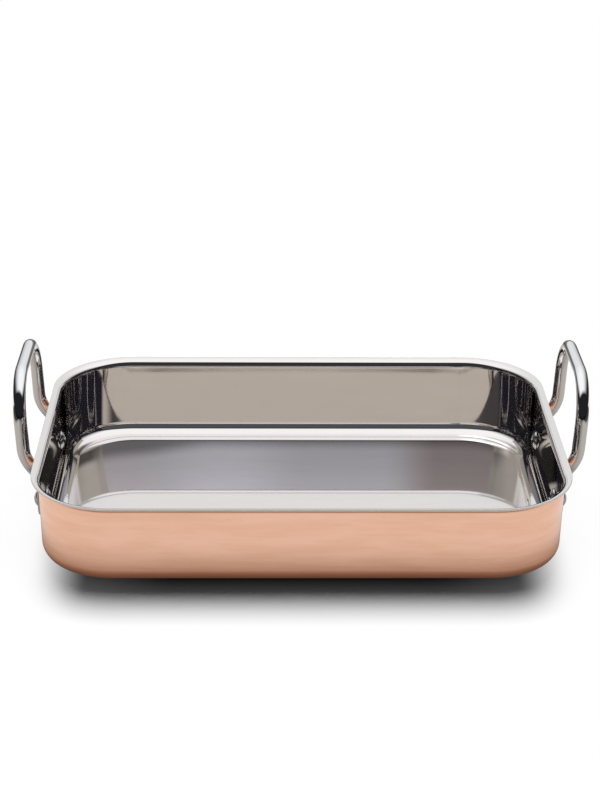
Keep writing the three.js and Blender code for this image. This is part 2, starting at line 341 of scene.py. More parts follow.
# Steel lining
# The inner layer of the sheet: stainless steel, polished bright after the pressing. Faint clouds and streaks
# run along the walls, and the floor has an even satin gloss.
LINING_THICKNESS = 0.0004
LINING_DEPTH = CORE_DEPTH + CORE_THICKNESS + BOND_GAP
LINING_PALE = (0.769, 0.727, 0.697)
LINING_DEEP = (0.747, 0.705, 0.675)
LINING_ROUGHNESS = 0.06
LINING_ROUGHNESS_RANGE = (0.03, 0.06)
LINING_CLOUD = (0.05, 0.011, 3.0)
LINING_STREAKS = (0.12, 0.0012, 4.0)
SATIN_FLOOR = 0.04
SATIN_END_LOW = SHEET_THICKNESS + 0.0002
SATIN_END_HIGH = SHEET_THICKNESS + 0.0012
lining_steel, lining_shader = metal("bright_lining_steel", LINING_PALE, LINING_ROUGHNESS, 0)
lining_cloud = brush_lines(lining_steel, *LINING_CLOUD)
lining_colour = ramp(lining_steel, lining_cloud, LINING_DEEP, LINING_PALE)
feed(lining_steel, lining_colour, lining_shader.inputs["Base Color"])
lining_streaks = brush_lines(lining_steel, *LINING_STREAKS)
lining_place = node(lining_steel, "ShaderNodeTexCoord")
lining_axes = node(lining_steel, "ShaderNodeSeparateXYZ", links={"Vector": lining_place.outputs["Object"]})
lining_floor = node(lining_steel, "ShaderNodeMapRange",
                    {"From Min": SATIN_END_LOW, "From Max": SATIN_END_HIGH, "To Min": 1.0, "To Max": 0.0},
                    {"Value": lining_axes.outputs["Z"]}, interpolation_type="SMOOTHSTEP")
lining_finish = node(lining_steel, "ShaderNodeMix", {"B": SATIN_FLOOR}, {
    "Factor": lining_floor.outputs["Result"],
    "A": ramp(lining_steel, lining_streaks, *LINING_ROUGHNESS_RANGE),
})
feed(lining_steel, lining_finish.outputs["Result"], lining_shader.inputs["Roughness"])
steel_lining = tray_layer("pan_steel_lining", LINING_DEPTH, LINING_THICKNESS, 0, EDGE_ROUND)
steel_lining.data.materials.append(lining_steel)
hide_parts("steel_lining")
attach(steel_lining, "root")

# Loop handles
# Each is one length of round stainless rod, bent to an upright loop, with its ends flattened into feet that
# lie on the end wall below the lip. They are mirror-polished all over and riveted fast.
ROD_RADIUS = 0.00435
ARM_SPACING = 0.092
ARM_LEAN = math.radians(2.4)
ARM_BEND_RISE = 0.0054
LIP_TO_ARM = 0.0033
UPPER_BEND_RADIUS = 0.025
LOWER_BEND_RADIUS = 0.01
LOOP_RISE = 0.0506
LOOP_BEND_RADIUS = 0.0275
FOOT_WIDTH = 0.016
FOOT_THICKNESS = 0.004
FOOT_BELOW_RIVET = 0.012
TIP_EDGE_SHARE = 0.5
TIP_SWELL = 1.2
OUTER_HEAD_RADIUS = 0.0055
SEAT_GAP = 0.0003
ROD_SIDES = 48
BEND_STEPS = 20
TIP_STEPS = 12
FOOT_STEPS = 6
HANDLE_CREASE = math.radians(50)

wall_out, wall_up, wall_top, _ = wall_frame(END_DRAFT)
foot_offset = SEAT_GAP + FOOT_THICKNESS / 2
arm_end = Vector((LIP_TO_ARM + ROD_RADIUS, TRAY_HEIGHT + ARM_BEND_RISE))
arm_start = arm_end - wall_top
arm_turn = ARM_LEAN - END_DRAFT
arm_reach = arm_start.dot(wall_out) - foot_offset
swing_radii = LOWER_BEND_RADIUS + UPPER_BEND_RADIUS
swing = math.acos((LOWER_BEND_RADIUS + UPPER_BEND_RADIUS * math.cos(arm_turn) - arm_reach) / swing_radii)
leave_rise = (arm_start.dot(wall_up) - swing_radii * math.sin(swing)
              + UPPER_BEND_RADIUS * math.sin(arm_turn))
rivet_low, rivet_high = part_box("right_front_rivet")
rivet_rise = ((rivet_low[2] + rivet_high[2]) / 2 - wall_top.y) / math.cos(END_DRAFT)


def between(low, high, share):
    return low + (high - low) * share


def eased(share):
    """A share with a soft start and end, kept between 0 and 1."""
    share = min(max(share, 0), 1)
    return share * share * (3 - 2 * share)


def out_of(heading):
    """The way out of an arm with this heading, in (out, height)."""
    return Vector((math.cos(heading), -math.sin(heading)))


def rod_half():
    """Stations up the front arm and over to the loop's middle: (place, out, side, half thick, half wide)."""
    stations = []
    across = -ARM_SPACING / 2
    along = Vector((0, 1, 0))
    start = wall_top + wall_out * foot_offset

    def arm_station(point, heading, half_thick, half_wide):
        place = Vector((RIM_LENGTH / 2 + point.x, across, point.y))
        out = Vector((math.cos(heading), 0, -math.sin(heading)))
        stations.append((place, out, along, half_thick, half_wide))

    tip_rise = rivet_rise - FOOT_BELOW_RIVET
    tip_radius = FOOT_WIDTH / 2
    for step in range(1, TIP_STEPS + 1):
        turn = math.pi / 2 * step / TIP_STEPS
        rise = tip_rise + tip_radius * (1 - math.cos(turn))
        thin = FOOT_THICKNESS / 2 * min(1, TIP_EDGE_SHARE + TIP_SWELL * math.sin(turn))
        arm_station(start + wall_up * rise, END_DRAFT, thin, tip_radius * math.sin(turn))
    neck_rise = rivet_rise + OUTER_HEAD_RADIUS + SEAT_GAP
    neck_length = leave_rise - neck_rise + LOWER_BEND_RADIUS * swing
    for step in range(FOOT_STEPS):
        rise = between(neck_rise, leave_rise, step / FOOT_STEPS)
        wide = between(tip_radius, ROD_RADIUS, eased((rise - neck_rise) / neck_length))
        arm_station(start + wall_up * rise, END_DRAFT, FOOT_THICKNESS / 2, wide)
    leave = start + wall_up * leave_rise
    for step in range(BEND_STEPS):
        share = step / BEND_STEPS
        turn = swing * share
        point = leave + (wall_out * (1 - math.cos(turn)) + wall_up * math.sin(turn)) * LOWER_BEND_RADIUS
        travel = leave_rise - neck_rise + LOWER_BEND_RADIUS * turn
        wide = between(tip_radius, ROD_RADIUS, eased(travel / neck_length))
        arm_station(point, END_DRAFT + turn, between(FOOT_THICKNESS / 2, ROD_RADIUS, share * share), wide)
    bend_centre = arm_end - out_of(ARM_LEAN) * UPPER_BEND_RADIUS
    for step in range(BEND_STEPS + 1):
        heading = between(END_DRAFT + swing, ARM_LEAN, step / BEND_STEPS)
        arm_station(bend_centre + out_of(heading) * UPPER_BEND_RADIUS, heading, ROD_RADIUS, ROD_RADIUS)
    arm_top = Vector((RIM_LENGTH / 2 + arm_end.x, across, arm_end.y))
    up = Vector((math.sin(ARM_LEAN), 0, math.cos(ARM_LEAN)))
    out = Vector((math.cos(ARM_LEAN), 0, -math.sin(ARM_LEAN)))
    arm_length = (LOOP_RISE - ARM_BEND_RISE) / math.cos(ARM_LEAN) - LOOP_BEND_RADIUS
    loop_centre = arm_top + up * arm_length + along * LOOP_BEND_RADIUS
    for step in range(BEND_STEPS + 1):
        turn = math.pi / 2 * step / BEND_STEPS
        place = loop_centre + (up * math.sin(turn) - along * math.cos(turn)) * LOOP_BEND_RADIUS
        side = along * math.cos(turn) - up * math.sin(turn)
        stations.append((place, out, side, ROD_RADIUS, ROD_RADIUS))
    return stations


def rod_section(place, out, side, half_thick, half_wide):
    """A flat oval with full-round edges, or a circle where both half sizes are equal."""
    edge = min(half_thick, half_wide)
    ring = []
    for step in range(ROD_SIDES):
        angle = (step + 0.5) * 2 * math.pi / ROD_SIDES
        thick = math.copysign(half_thick - edge, math.cos(angle)) + edge * math.cos(angle)
        wide = math.copysign(half_wide - edge, math.sin(angle)) + edge * math.sin(angle)
        ring.append(place + out * thick + side * wide)
    return ring


def ring_faces(rings, sides):
    """The faces that join each ring of points to the next one."""
    faces = []
    for ring in range(rings - 1):
        for side in range(sides):
            here = ring * sides + side
            after = ring * sides + (side + 1) % sides
            faces.append((here, after, after + sides, here + sides))
    return faces


def turned(points, turn):
    """Points turned about the pan's upright axis."""
    spin = Matrix.Rotation(turn, 4, "Z")
    return [spin @ point for point in points]


def smooth_mesh(name, points, faces, crease):
    """A mesh object shaded smooth, with its edges over the crease angle kept sharp."""
    mesh = bpy.data.meshes.new(name)
    mesh.from_pydata(points, [], faces)
    mesh.polygons.foreach_set("use_smooth", [True] * len(mesh.polygons))
    mesh.set_sharp_from_angle(angle=crease)
    piece = bpy.data.objects.new(name, mesh)
    bpy.context.scene.collection.objects.link(piece)
    return piece


def loop_handle(name, turn):
    """A whole handle: its front half, that half mirrored, and two closed tips."""
    front = rod_half()
    flip = Matrix.Scale(-1, 3, Vector((0, 1, 0)))
    rear = [(flip @ place, out, flip @ side, thick, wide) for place, out, side, thick, wide in front]
    rings = [rod_section(*station) for station in front + rear[::-1]]
    points = [point for ring in rings for point in ring]
    faces = ring_faces(len(rings), ROD_SIDES)
    faces.append(tuple(range(ROD_SIDES))[::-1])
    faces.append(tuple(range(len(points) - ROD_SIDES, len(points))))
    return smooth_mesh(name, turned(points, turn), faces, HANDLE_CREASE)


POLISHED_COLOUR = (0.76, 0.745, 0.73)
POLISHED_ROUGHNESS = 0.05
POLISHED_ROUGHNESS_RANGE = (0.035, 0.075)
HAZE_SCALE = 900.0
HAZE_DETAIL = 2.0
polished_steel, polished_shader = metal("mirror_polished_steel", POLISHED_COLOUR, POLISHED_ROUGHNESS, 0)
polished_place = node(polished_steel, "ShaderNodeTexCoord")
polished_haze = node(polished_steel, "ShaderNodeTexNoise", {"Scale": HAZE_SCALE, "Detail": HAZE_DETAIL},
                     {"Vector": polished_place.outputs["Object"]})
polished_gloss = ramp(polished_steel, polished_haze.outputs["Fac"], *POLISHED_ROUGHNESS_RANGE)
feed(polished_steel, polished_gloss, polished_shader.inputs["Roughness"])
ENDS = {"right": 0, "left": math.pi}
for end, turn in ENDS.items():
    handle = loop_handle(f"{end}_loop_handle", turn)
    handle.data.materials.append(polished_steel)
    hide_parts(f"{end}_handle")
    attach(handle, "root")

# Rivets
# Solid stainless rivets, one through each foot and the end wall: a wide low dome inside the pan, and a
# smaller dome hammered down on the foot outside.
SHANK_RADIUS = 0.003
INNER_HEAD_RADIUS = 0.007
INNER_HEAD_HEIGHT = 0.003
OUTER_HEAD_HEIGHT = 0.0025
RIVET_SIDES = 64
DOME_STEPS = 14
RIVET_CREASE = math.radians(40)
inner_head_seat = -SHEET_THICKNESS - SEAT_GAP
outer_head_seat = foot_offset + FOOT_THICKNESS / 2 + SEAT_GAP


def dome(radius, height):
    """A low dome's outline from its edge to its crown, as (radius, height)."""
    curve = (radius * radius + height * height) / (2 * height)
    spread = math.asin(radius / curve)
    outline = []
    for step in range(DOME_STEPS + 1):
        angle = spread * (1 - step / DOME_STEPS)
        outline.append((curve * math.sin(angle), curve * math.cos(angle) - curve + height))
    return outline


def rivet(name, across, turn):
    """A rivet square to the end wall: two domed heads and the shank between them."""
    inner_dome = dome(INNER_HEAD_RADIUS, INNER_HEAD_HEIGHT)
    outer_dome = dome(OUTER_HEAD_RADIUS, OUTER_HEAD_HEIGHT)
    inner = [(radius, inner_head_seat - height) for radius, height in inner_dome]
    outer = [(radius, outer_head_seat + height) for radius, height in outer_dome]
    shank = [(SHANK_RADIUS, inner_head_seat), (SHANK_RADIUS, outer_head_seat)]
    outline = inner[:-1][::-1] + shank + outer[:-1]
    seat = wall_top + wall_up * rivet_rise
    lean = Matrix.Rotation(END_DRAFT, 4, "Y")
    place = Matrix.Translation((RIM_LENGTH / 2 + seat.x, across, seat.y)) @ lean
    points = []
    for radius, reach in outline:
        for side in range(RIVET_SIDES):
            angle = 2 * math.pi * side / RIVET_SIDES
            points.append(place @ Vector((reach, radius * math.cos(angle), radius * math.sin(angle))))
    faces = ring_faces(len(outline), RIVET_SIDES)
    inner_crown = len(points)
    points.append(place @ Vector((inner[-1][1], 0, 0)))
    points.append(place @ Vector((outer[-1][1], 0, 0)))
    last = (len(outline) - 1) * RIVET_SIDES
    for side in range(RIVET_SIDES):
        after = (side + 1) % RIVET_SIDES
        faces.append((inner_crown, after, side))
        faces.append((inner_crown + 1, last + side, last + after))
    return smooth_mesh(name, turned(points, turn), faces, RIVET_CREASE)


RIVET_PLACES = {
    "right_front": (-ARM_SPACING / 2, ENDS["right"]),
    "right_rear": (ARM_SPACING / 2, ENDS["right"]),
    "left_rear": (-ARM_SPACING / 2, ENDS["left"]),
    "left_front": (ARM_SPACING / 2, ENDS["left"]),
}
for corner, (across, turn) in RIVET_PLACES.items():
    piece = rivet(f"{corner}_domed_rivet", across, turn)
    piece.data.materials.append(polished_steel)
    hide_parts(f"{corner}_rivet")
    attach(piece, "root")

# Studio floor
# A wide white table that the pan stands on. The camera sees it lit, with the pan's shadow kept to the front
# by painted light at the sides. Metal sees a set tone instead, a glowing painted reflection: the copper a
# sheet with painted shade and a painted coppery glow at the pan's foot, the handles a sheet that is paler
# behind the pan, and the handles' feet a dim one, painted shade.
FLOOR_SIZE = 12.0
FLOOR_WHITE = 0.93
FOOT_HALF_LENGTH = 0.1617
FOOT_HALF_WIDTH = 0.1048
FOOT_CORNER = 0.037
PAN_FOOT_PAINTED_GLOW = (1.0, 0.63, 0.46)
FRONT_TINT = (1.0, 0.985, 0.96)
AFAR_TINT = (1.0, 0.95, 0.9)
WHITE = (1.0, 1.0, 1.0)
# Each zone is where a soft step starts and ends, then its values there.
# What the copper sees, by how far a place lies from the base: painted shade and a painted coppery glow near
# it
PAN_FOOT_PAINTED_SHADE = (-0.01, 0.055, 0.0, 0.92)
FOOT_TINT = (0.002, 0.042, 0.0, 1.0)
# What the handles see, a painted reflection, by how far a place lies from the middle across, or by where it
# lies along Y; their feet see painted shade
BEFORE_PAN = (0.08, 0.2, 1.0, 0.0)
BEFORE_TONE = (0.1, 0.3, 0.27, 0.57)
BEFORE_SIDES = (0.36, 0.5, 1.0, 0.1)
BEHIND_TONE = (0.1, 0.2, 0.45, 1.15)
BEHIND_FAR = (0.33, 0.55, 1.0, 0.2)
HANDLE_FEET_PAINTED_SHADE = (-0.095, -0.06, 0.15, 0.8)
FAR_FRONT = (-1.0, -0.3, 0.04, 1.0)
# Which metal a ray has left, by its height and by how far out it started
COPPER_REACH = (0.049, 0.055, 0.1737, 0.1785)
PAST_COPPER = (0.0, 0.001, 0.0, 1.0)
ABOVE_FEET = (0.046, 0.054, 0.0, 1.0)
# Where painted light puts plain white in place of the shadow for the camera: out at the sides, and in a line
# along the base
SIDE_LIGHT = (0.139, 0.182, 0.0, 0.88)
SIDE_LIGHT_START = (0.08, 0.15, 0.0, 0.035)
EDGE_LIGHT = (0.009, 0.019, 0.0, 0.018)
EDGE_LIGHT_END = (0.02, 0.028, 1.0, 0.0)
# Halfway between whole counts of a ray's bounces
HALF_COUNT = 0.5


def flat_sheet(name, corners):
    """A flat sheet with four corners."""
    mesh = bpy.data.meshes.new(name)
    mesh.from_pydata(corners, [], [(0, 1, 2, 3)])
    sheet = bpy.data.objects.new(name, mesh)
    bpy.context.scene.collection.objects.link(sheet)
    return sheet


def calculate(material, operation, first, second=0.0):
    """One step of arithmetic on an output and another output or a number."""
    made = node(material, "ShaderNodeMath", links={0: first}, operation=operation)
    if isinstance(second, float):
        made.inputs[1].default_value = second
    else:
        feed(material, second, made.inputs[1])
    return made.outputs[0]


def product(material, first, *others):
    """An output multiplied by other outputs or numbers."""
    for other in others:
        first = calculate(material, "MULTIPLY", first, other)
    return first


def fade(material, source, *zones):
    """Soft steps of the source, multiplied. A zone is where a step starts and ends, then its values there."""
    steps = []
    for start, end, low, high in zones:
        step = node(material, "ShaderNodeMapRange",
                    {"From Min": start, "From Max": end, "To Min": low, "To Max": high},
                    {"Value": source}, interpolation_type="SMOOTHSTEP")
        steps.append(step.outputs["Result"])
    return product(material, *steps)


def chosen(material, share, first, second):
    """The first where the share is 0, the second where it is 1. Each is an output, a number or a colour."""
    coloured = isinstance(first, tuple) or isinstance(second, tuple)
    made = node(material, "ShaderNodeMix", links={"Factor": share}, data_type="RGBA" if coloured else "FLOAT")
    for socket, choice in (("A", first), ("B", second)):
        if isinstance(choice, tuple):
            made.inputs[socket].default_value = (*choice, 1)
        elif isinstance(choice, float):
            made.inputs[socket].default_value = choice
        else:
            feed(material, choice, made.inputs[socket])
    return made.outputs["Result"]


def stage_axes(material):
    """The place in metres along X, Y and Z, and its distance from the middle across."""
    place = node(material, "ShaderNodeTexCoord")
    axes = node(material, "ShaderNodeSeparateXYZ", links={"Vector": place.outputs["Object"]}).outputs
    return axes, calculate(material, "ABSOLUTE", axes["X"])


def from_foot(material, along, across):
    """How far a place on the table lies outside the pan's flat base, a rectangle with round corners."""
    squares = []
    for distance, straight in ((across, FOOT_HALF_LENGTH - FOOT_CORNER),
                               (calculate(material, "ABSOLUTE", along), FOOT_HALF_WIDTH - FOOT_CORNER)):
        past = calculate(material, "MAXIMUM", calculate(material, "SUBTRACT", distance, straight), 0.0)
        squares.append(calculate(material, "POWER", past, 2.0))
    from_corner = calculate(material, "SQRT", calculate(material, "ADD", *squares))
    return calculate(material, "SUBTRACT", from_corner, FOOT_CORNER)


def ray_start(material, path):
    """Where the ray that sees this place left the metal, along X, Y and Z."""
    facing = node(material, "ShaderNodeNewGeometry")
    way_back = node(material, "ShaderNodeVectorMath", links={
        "Vector": facing.outputs["Incoming"], "Scale": path.outputs["Ray Length"]}, operation="SCALE")
    start = node(material, "ShaderNodeVectorMath", links={
        0: facing.outputs["Position"], 1: way_back.outputs["Vector"]}, operation="ADD")
    return node(material, "ShaderNodeSeparateXYZ", links={"Vector": start.outputs["Vector"]}).outputs


def unscattered(material, path):
    """1 for rays that the table hasn't scattered, and 0 for those that it has."""
    return calculate(material, "LESS_THAN", path.outputs["Diffuse Depth"], HALF_COUNT)


half_floor = FLOOR_SIZE / 2
studio_floor = flat_sheet("studio_floor", [
    (-half_floor, -half_floor, 0), (half_floor, -half_floor, 0),
    (half_floor, half_floor, 0), (-half_floor, half_floor, 0),
])
table = bpy.data.materials.new("table_white")
table.use_nodes = True
table_shader = table.node_tree.nodes["Principled BSDF"]
table_shader.inputs["Roughness"].default_value = 1
table_shader.inputs["Specular IOR Level"].default_value = 0
table_path = node(table, "ShaderNodeLightPath")
table_unscattered = unscattered(table, table_path)
# After a bounce off the table it turns black: painted shade in place of the light the pan bounces back onto
# it
feed(table, product(table, table_unscattered, FLOOR_WHITE), table_shader.inputs["Base Color"])

table_axes, table_across = stage_axes(table)
table_along = table_axes["Y"]
foot_gap = from_foot(table, table_along, table_across)
before_tone = fade(table, table_across, BEFORE_TONE, BEFORE_SIDES)
behind_tone = product(table, fade(table, table_across, BEHIND_TONE), fade(table, table_along, BEHIND_FAR))
arms_see = chosen(table, fade(table, table_along, BEFORE_PAN), behind_tone, before_tone)
table_start = ray_start(table, table_path)
start_across = calculate(table, "ABSOLUTE", table_start["X"])
copper_reach = fade(table, table_start["Z"], COPPER_REACH)
from_handle = fade(table, calculate(table, "SUBTRACT", start_across, copper_reach), PAST_COPPER)
above_feet = fade(table, table_start["Z"], ABOVE_FEET)
feet_painted_shade_share = chosen(table, above_feet, fade(table, table_along, HANDLE_FEET_PAINTED_SHADE), 1.0)
handles_see = product(table, arms_see, feet_painted_shade_share)
metal_sees = chosen(table, from_handle, fade(table, foot_gap, PAN_FOOT_PAINTED_SHADE), handles_see)
painted_reflection_tone = product(table, metal_sees, fade(table, table_along, FAR_FRONT), table_unscattered)
copper_tint = chosen(table, fade(table, foot_gap, FOOT_TINT), PAN_FOOT_PAINTED_GLOW, FRONT_TINT)
seen_tint = chosen(table, from_handle, copper_tint, AFAR_TINT)
# Metal sees the table as a glow of set tone and tint: a painted reflection, with painted shade at the pan's
# foot
painted_table_reflection = node(table, "ShaderNodeEmission", links={"Color": seen_tint, "Strength": painted_reflection_tone})
lit_or_seen = node(table, "ShaderNodeMixShader", links={
    0: table_path.outputs["Is Glossy Ray"],
    1: table_shader.outputs["BSDF"],
    2: painted_table_reflection.outputs["Emission"],
})

# Painted light for the camera: plain white mixed over the lit table, which thins the pan's shadow there
side_start = fade(table, table_across, SIDE_LIGHT_START)
side_light = calculate(table, "ADD", fade(table, table_across, SIDE_LIGHT), side_start)
painted_light_share = calculate(table, "ADD", side_light, fade(table, foot_gap, EDGE_LIGHT, EDGE_LIGHT_END))
painted_white_light = node(table, "ShaderNodeEmission", {"Color": (*WHITE, 1), "Strength": 1.0})
table_surface = node(table, "ShaderNodeMixShader", links={
    0: product(table, painted_light_share, table_path.outputs["Is Camera Ray"]),
    1: lit_or_seen.outputs["Shader"],
    2: painted_white_light.outputs["Emission"],
})
feed(table, table_surface.outputs["Shader"], table.node_tree.nodes["Material Output"].inputs["Surface"])
studio_floor.data.materials.append(table)

# Soft box, backdrop and cards
# A large soft box hangs low over the pan and leans back, and a white sheet stands behind the pan. A cool card
# over the camera fills the pan's floor, and a dim card stands in front. They glow by themselves. Only metal
# sees them, and the last two only in one reflection of a row. How bright they glow goes by where on the pan
# the ray left and by which reflection it is, which paints highlights and shade into set places of the
# reflections.
BOX_MIDDLE_Y = 0.01
BOX_HEIGHT = 0.433
BOX_FALL = 0.39
BOX_FRONT = -0.36
BOX_BACK = 0.62
BOX_HALF_WIDTH = 0.85
BOX_GLOW = 1.15
BOX_COLOUR = (0.95, 0.995, 1.08)
BOX_DEEP_COLOUR = (0.99, 1.0, 0.98)
# First reflection: how the glow falls off to the sides and to the front edge
BOX_SIDES = (0.15, 0.75, BOX_GLOW, 0.08)
BOX_FRONT_EDGE = (BOX_FRONT, -0.17, 0.0, 1.0)
FIRST_DEEP_SHARE = 0.5
# First and second reflection: how it falls off to the back
BOX_BACK_FALL = (0.08, 0.45, 1.08, 0.85)
# Second reflection: dim wings at the sides, and a painted dark band and a painted bright band across the
# middle
WING_START = (0.22, 0.31, 1.2 * BOX_GLOW, 0.47 * BOX_GLOW)
WING_END = (0.52, 0.68, 1.0, 0.05)
WING_FRONT_EDGE = (BOX_FRONT, -0.14, 0.0, 1.0)
WING_FRONT_FILL = (0.35, 0.45, 0.0, 0.9)
OUT_TO_WINGS = (0.2, 0.28, 0.0, 1.0)
PAINTED_DARK_BAND = (0.13, 0.2, 1.0, 0.5)
PAINTED_BRIGHT_BAND = (0.3, 0.42, 1.0, 1.75)
# Second reflection in the rear corners, by where the ray left the lining: painted shade in the right one and
# at the left one's foot, and a painted highlight at the right one's foot
RIGHT_CORNER_START = (0.138, 0.145, 0.0, 1.0)
RIGHT_CORNER_END = (0.153, 0.168, 1.0, 0.0)
RIGHT_CORNER_PAINTED_SHADE = 0.72
REAR_CORNERS_START = 0.08
REAR_CORNERS = (REAR_CORNERS_START, 0.092, 0.0, 1.0)
LEFT_FOOT = (-0.158, -0.147, 0.8, 0.0)
LEFT_FOOT_LOW = (0.0105, 0.0125, 0.0, 1.0)
LEFT_FOOT_HIGH = (0.018, 0.025, 1.0, 0.0)
RIGHT_FOOT_START = (0.12, 0.135, 0.0, 1.1)
RIGHT_FOOT_END = (0.157, 0.162, 1.0, 0.0)
RIGHT_FOOT_LOW = (0.006, 0.009, 0.0, 1.0)
RIGHT_FOOT_HIGH = (0.0115, 0.017, 1.0, 0.0)
# Deeper reflections: a slanted end, and a painted glow under the rear lip
SLANTED_END = (0.12, 0.36, 0.81 * BOX_GLOW, 0.03)
UNDER_LIP_PAINTED_GLOW = (0.042, 0.047, 0.0, 0.6 * BOX_GLOW)
REAR_WALL_TOP = 0.112


def reflection_is(material, path, count):
    """1 in that reflection of a row, counted from the camera, and 0 in the others."""
    there = node(material, "ShaderNodeMath", {1: count, 2: HALF_COUNT}, {0: path.outputs["Glossy Depth"]},
                 operation="COMPARE")
    return there.outputs[0]


def past_reflection(material, path, count):
    """1 after that reflection of a row, and 0 up to it."""
    return calculate(material, "GREATER_THAN", path.outputs["Glossy Depth"], count + HALF_COUNT)


def glowing_card(name, corners, colours, glow_nodes, reflection=None):
    """A card of one or two colours, seen in reflections only, or only in one reflection of a row.

    The function glow_nodes gives its brightness, and the share of its second colour or None.
    """
    card = flat_sheet(name, corners)
    glow = bpy.data.materials.new(name)
    glow.use_nodes = True
    glow.node_tree.nodes.remove(glow.node_tree.nodes["Principled BSDF"])
    path = node(glow, "ShaderNodeLightPath")
    brightness, second_share = glow_nodes(glow, path)
    strength = product(glow, brightness, unscattered(glow, path))
    emission = node(glow, "ShaderNodeEmission", {"Color": (*colours[0], 1)}, {"Strength": strength})
    if second_share is not None:
        feed(glow, chosen(glow, second_share, *colours), emission.inputs["Color"])
    surface = emission.outputs["Emission"]
    if reflection is not None:
        clear = node(glow, "ShaderNodeBsdfTransparent")
        there = reflection_is(glow, path, reflection)
        surface = node(glow, "ShaderNodeMixShader",
                       links={0: there, 1: clear.outputs["BSDF"], 2: surface}).outputs["Shader"]
    feed(glow, surface, glow.node_tree.nodes["Material Output"].inputs["Surface"])
    card.data.materials.append(glow)
    card.visible_camera = False
    card.visible_diffuse = False
    card.visible_shadow = False


def painted_corner_light(material, start):
    """Painted shade and highlight in the rear corners' second reflection: dimmer at the right, one foot dark,
    one bright.
    """
    at_rear = calculate(material, "GREATER_THAN", start["Y"], REAR_CORNERS_START)
    at_right = product(material, fade(material, start["X"], RIGHT_CORNER_START, RIGHT_CORNER_END), at_rear)
    left_foot = product(material, fade(material, start["Z"], LEFT_FOOT_LOW, LEFT_FOOT_HIGH),
                        fade(material, start["X"], LEFT_FOOT))
    right_foot = product(material, fade(material, start["Z"], RIGHT_FOOT_LOW, RIGHT_FOOT_HIGH),
                         fade(material, start["X"], RIGHT_FOOT_START, RIGHT_FOOT_END))
    painted_foot_light = calculate(material, "ADD", calculate(material, "SUBTRACT", right_foot, left_foot), 1.0)
    return product(material, chosen(material, at_right, 1.0, RIGHT_CORNER_PAINTED_SHADE),
                   chosen(material, fade(material, start["Y"], REAR_CORNERS), 1.0, painted_foot_light))


def box_glow(material, path):
    """A soft falloff first, dim wings and painted bands in the second reflection, a slanted end and painted
    lip glow deeper.
    """
    axes, across = stage_axes(material)
    along = axes["Y"]
    start = ray_start(material, path)
    front_edge = fade(material, along, BOX_FRONT_EDGE)
    first = product(material, fade(material, across, BOX_SIDES), front_edge)
    wing_front = calculate(material, "MAXIMUM", fade(material, along, WING_FRONT_EDGE),
                           fade(material, across, WING_FRONT_FILL))
    out_to_wings = fade(material, across, OUT_TO_WINGS)
    middle_run = chosen(material, out_to_wings, fade(material, along, PAINTED_DARK_BAND, PAINTED_BRIGHT_BAND), 1.0)
    second = product(material, fade(material, across, WING_START, WING_END), wing_front, middle_run,
                     painted_corner_light(material, start))
    slant = calculate(material, "SUBTRACT", across, along)
    slanted = product(material, fade(material, slant, SLANTED_END), front_edge)
    off_rear_top = calculate(material, "GREATER_THAN", start["Y"], REAR_WALL_TOP)
    painted_lip_glow = product(material, fade(material, start["Z"], UNDER_LIP_PAINTED_GLOW), off_rear_top)
    deeper = calculate(material, "MAXIMUM", slanted, painted_lip_glow)
    past_first = past_reflection(material, path, 1)
    past_second = past_reflection(material, path, 2)
    shallow = product(material, chosen(material, past_first, first, second),
                      fade(material, along, BOX_BACK_FALL))
    deep_share = chosen(material, past_first, FIRST_DEEP_SHARE,
                        calculate(material, "MAXIMUM", past_second, out_to_wings))
    return chosen(material, past_second, shallow, deeper), deep_share


def box_corner(x, y):
    """A corner of the box, which falls towards the back."""
    return (x, y, BOX_HEIGHT - BOX_FALL * (y - BOX_MIDDLE_Y))


glowing_card("soft_box", [
    box_corner(-BOX_HALF_WIDTH, BOX_FRONT), box_corner(BOX_HALF_WIDTH, BOX_FRONT),
    box_corner(BOX_HALF_WIDTH, BOX_BACK), box_corner(-BOX_HALF_WIDTH, BOX_BACK),
], (BOX_COLOUR, BOX_DEEP_COLOUR), box_glow)

SHEET_PLACE = 0.95
SHEET_HALF_WIDTH = 0.75
SHEET_HEIGHT = 0.4
SHEET_GLOW = 0.8
SHEET_SIDES = (0.4, SHEET_HALF_WIDTH, SHEET_GLOW, 0.05)
SHEET_FOOT = (0.12, 0.3, 0.25, 1.0)
OVER_LIP = 0.064


def upright(half_width, place, low, high):
    """An upright rectangle facing along Y."""
    return [(-half_width, place, low), (half_width, place, low),
            (half_width, place, high), (-half_width, place, high)]


def sheet_glow(material, path):
    """Fades to its sides, and has a dark foot for the handles, which alone rise over the lip: painted shade
    on them.
    """
    axes, across = stage_axes(material)
    off_handle = calculate(material, "GREATER_THAN", ray_start(material, path)["Z"], OVER_LIP)
    foot = chosen(material, off_handle, 1.0, fade(material, axes["Z"], SHEET_FOOT))
    return product(material, fade(material, across, SHEET_SIDES), foot), None


glowing_card("back_sheet", upright(SHEET_HALF_WIDTH, SHEET_PLACE, 0, SHEET_HEIGHT), (BOX_COLOUR,), sheet_glow)

FILL_PLACE = -1.2
FILL_HALF_WIDTH = 2.6
FILL_LOW = 0.9
FILL_HIGH = 2.6
FILL_COLOUR = (0.79, 0.86, 1.0)
FILL_WARM_COLOUR = (0.9, 0.85, 0.93)
FILL_GLOW = 0.86
